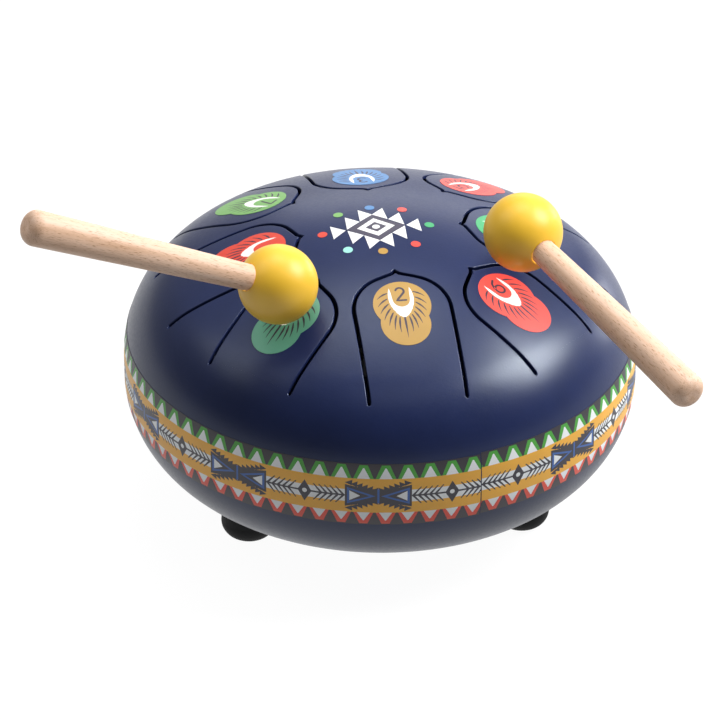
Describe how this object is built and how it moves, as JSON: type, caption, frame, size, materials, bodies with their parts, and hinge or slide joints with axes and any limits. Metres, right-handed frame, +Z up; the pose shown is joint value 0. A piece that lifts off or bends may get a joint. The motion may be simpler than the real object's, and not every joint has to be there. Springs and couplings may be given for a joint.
{
  "type": "steel tongue drum",
  "caption": "Small round steel tongue drum with numbered note tongues, a painted pattern band, rubber feet and a pair of ball-headed wooden mallets.",
  "frame": {"origin": "middle of the wall of the round sound hole, on the drum's axis, at the bottom of the drum", "axes": "+Z up along the drum's axis, -Y towards the player at the front, +X to the player's right"},
  "size_m": [0.2534, 0.2154, 0.1796],
  "materials": {
    "navy_paint": "satin powder coat with a fine orange-peel texture",
    "bare_weld": "as welded",
    "decal_centre": "white and dark printed film, satin",
    "decal_dots": "printed film, satin, several colours",
    "band_print": "printed film, satin, several colours",
    "black_rubber": "matte",
    "zinc_steel": "zinc plated",
    "beech": "sanded, unvarnished",
    "yellow_lacquer": "satin lacquered wooden ball",
    "decal_green": "printed film, satin",
    "decal_ochre": "printed film, satin",
    "decal_blue": "printed film, satin",
    "decal_red_orange": "printed film, satin",
    "decal_coral": "printed film, satin",
    "decal_red": "printed film, satin",
    "decal_light_green": "printed film, satin",
    "decal_teal": "printed film, satin"
  },
  "bodies": {
    "drum": {"top_shell": "navy_paint", "bottom_shell": "navy_paint", "seam_weld": "bare_weld", "centre_decal": "decal_centre", "dot_decals": "decal_dots", "band_strip_left": "band_print", "band_strip_right": "band_print", "feet": "black_rubber", "foot_screws": "zinc_steel", "foot_weld_bosses": "bare_weld"},
    "tongue_1": {"tongue_1": "navy_paint", "note_decal_1": "decal_green"},
    "tongue_2": {"tongue_2": "navy_paint", "note_decal_2": "decal_ochre"},
    "tongue_3": {"tongue_3": "navy_paint", "note_decal_3": "decal_blue"},
    "tongue_4": {"tongue_4": "navy_paint", "note_decal_4": "decal_red_orange"},
    "tongue_5": {"tongue_5": "navy_paint", "note_decal_5": "decal_coral"},
    "tongue_6": {"tongue_6": "navy_paint", "note_decal_6": "decal_red"},
    "tongue_7": {"tongue_7": "navy_paint", "note_decal_7": "decal_light_green"},
    "tongue_8": {"tongue_8": "navy_paint", "note_decal_8": "decal_teal"},
    "mallet_left": {"mallet_left_handle": "beech", "mallet_left_head": "yellow_lacquer"},
    "mallet_right": {"mallet_right_handle": "beech", "mallet_right_head": "yellow_lacquer"}
  },
  "joints": [
    {"name": "tongue_1_flex", "type": "hinge", "parent": "drum", "child": "tongue_1", "pos_m": [0.0843, 0.01426, 0.08446], "axis": [-0.1668, 0.986, 0], "range_deg": [-0.4, 0.4], "stiffness_Nm_per_rad": 5},
    {"name": "tongue_2_flex", "type": "hinge", "parent": "drum", "child": "tongue_2", "pos_m": [0.01426, -0.0843, 0.08446], "axis": [0.986, 0.1668, 0], "range_deg": [-0.4, 0.4], "stiffness_Nm_per_rad": 5},
    {"name": "tongue_3_flex", "type": "hinge", "parent": "drum", "child": "tongue_3", "pos_m": [-0.01426, 0.0843, 0.08446], "axis": [-0.986, -0.1668, 0], "range_deg": [-0.4, 0.4], "stiffness_Nm_per_rad": 5},
    {"name": "tongue_4_flex", "type": "hinge", "parent": "drum", "child": "tongue_4", "pos_m": [-0.0843, -0.01426, 0.08446], "axis": [0.1668, -0.986, 0], "range_deg": [-0.4, 0.4], "stiffness_Nm_per_rad": 5},
    {"name": "tongue_5_flex", "type": "hinge", "parent": "drum", "child": "tongue_5", "pos_m": [0.04953, 0.06969, 0.08446], "axis": [-0.8151, 0.5793, 0], "range_deg": [-0.4, 0.4], "stiffness_Nm_per_rad": 5},
    {"name": "tongue_6_flex", "type": "hinge", "parent": "drum", "child": "tongue_6", "pos_m": [0.06969, -0.04953, 0.08446], "axis": [0.5793, 0.8151, 0], "range_deg": [-0.4, 0.4], "stiffness_Nm_per_rad": 5},
    {"name": "tongue_7_flex", "type": "hinge", "parent": "drum", "child": "tongue_7", "pos_m": [-0.06969, 0.04953, 0.08446], "axis": [-0.5793, -0.8151, 0], "range_deg": [-0.4, 0.4], "stiffness_Nm_per_rad": 5},
    {"name": "tongue_8_flex", "type": "hinge", "parent": "drum", "child": "tongue_8", "pos_m": [-0.04953, -0.06969, 0.08446], "axis": [0.8151, -0.5793, 0], "range_deg": [-0.4, 0.4], "stiffness_Nm_per_rad": 5},
    {"name": "mallet_left_lift", "type": "slide", "parent": "drum", "child": "mallet_left", "axis": [0, 0, 1], "range_m": [0, 0.15]},
    {"name": "mallet_right_lift", "type": "slide", "parent": "drum", "child": "mallet_right", "axis": [0, 0, 1], "range_m": [0, 0.15]}
  ]
}
